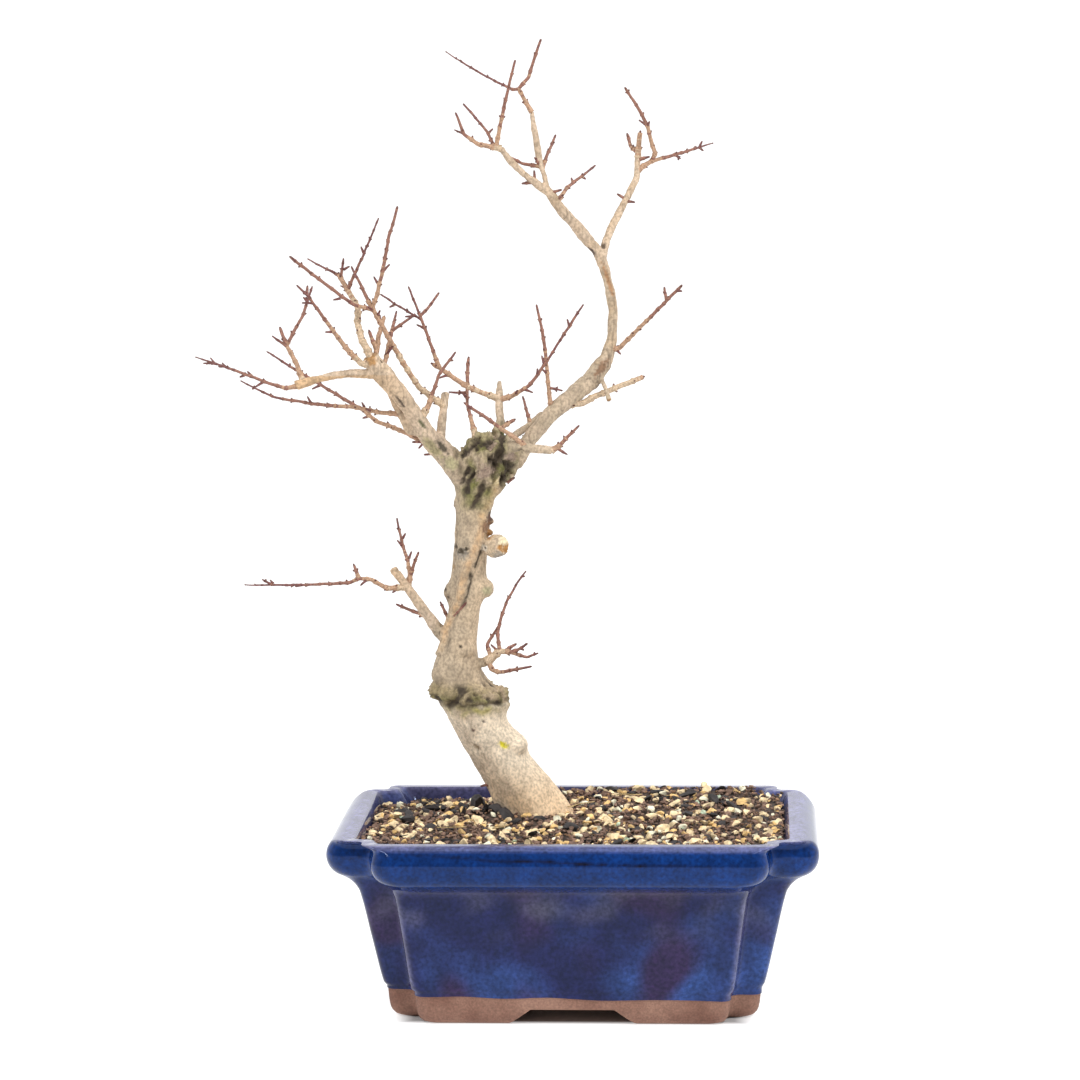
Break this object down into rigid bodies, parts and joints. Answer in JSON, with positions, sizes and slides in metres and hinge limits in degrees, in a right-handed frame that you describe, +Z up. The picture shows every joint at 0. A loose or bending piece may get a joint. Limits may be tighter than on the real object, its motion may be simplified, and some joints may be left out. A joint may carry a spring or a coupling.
{
  "type": "potted bonsai tree",
  "caption": "Leafless bonsai maple with a leaning, tapering trunk, stubby boughs and fine bare twigs, in a rectangular glazed pot with notched corners, a rolled rim and a raised foot.",
  "frame": {"origin": "under the middle of the outer box of plant and pot, on the surface that the pot stands on", "axes": "+Z up, -Y to the front, which is the long side of the pot from where the trunk leans to the left, and +X to the right as seen from there"},
  "size_m": [0.25, 0.1416, 0.3961],
  "materials": {
    "glaze": "glossy cobalt glaze",
    "soil": "damp grit and bark",
    "bark": "grey-brown bark",
    "twig": "red-brown twig bark"
  },
  "bodies": {
    "root": {"pot": "glaze", "soil": "soil", "trunk": "bark", "bough_low_left": "bark", "bough_left": "bark", "bough_left_inner": "bark", "bough_left_arm": "bark", "stub_left": "bark", "bough_centre": "bark", "bough_front": "bark", "bough_cross": "bark", "bough_right": "bark", "bough_right_upper": "bark", "bough_top_left": "bark", "bough_top_right": "bark", "bough_top_upright": "bark", "stub_right": "bark", "twigs_low_left_long": "twig", "twigs_low_left_up": "twig", "twigs_low_left_side": "twig", "twigs_low_right": "twig", "twigs_left_under": "twig", "twigs_left_mid": "twig", "twigs_diagonal": "twig", "twigs_knob": "twig", "twigs_head_left": "twig", "twigs_head_up": "twig", "twigs_head_mid": "twig", "twigs_head_right": "twig", "twigs_left_far": "twig", "twigs_left_far_up": "twig", "twigs_centre_up": "twig", "twigs_centre_left": "twig", "twigs_centre_right": "twig", "twigs_behind": "twig", "twigs_front_left": "twig", "twigs_front_right": "twig", "twigs_cross": "twig", "twigs_right_inner": "twig", "twigs_right_out": "twig", "twigs_right_mid": "twig", "twigs_top_left": "twig", "twigs_arch": "twig", "twigs_upright_side": "twig", "twigs_top": "twig", "twigs_top_inner": "twig", "twigs_top_right_end": "twig", "twigs_top_right_out": "twig"}
  },
  "joints": []
}
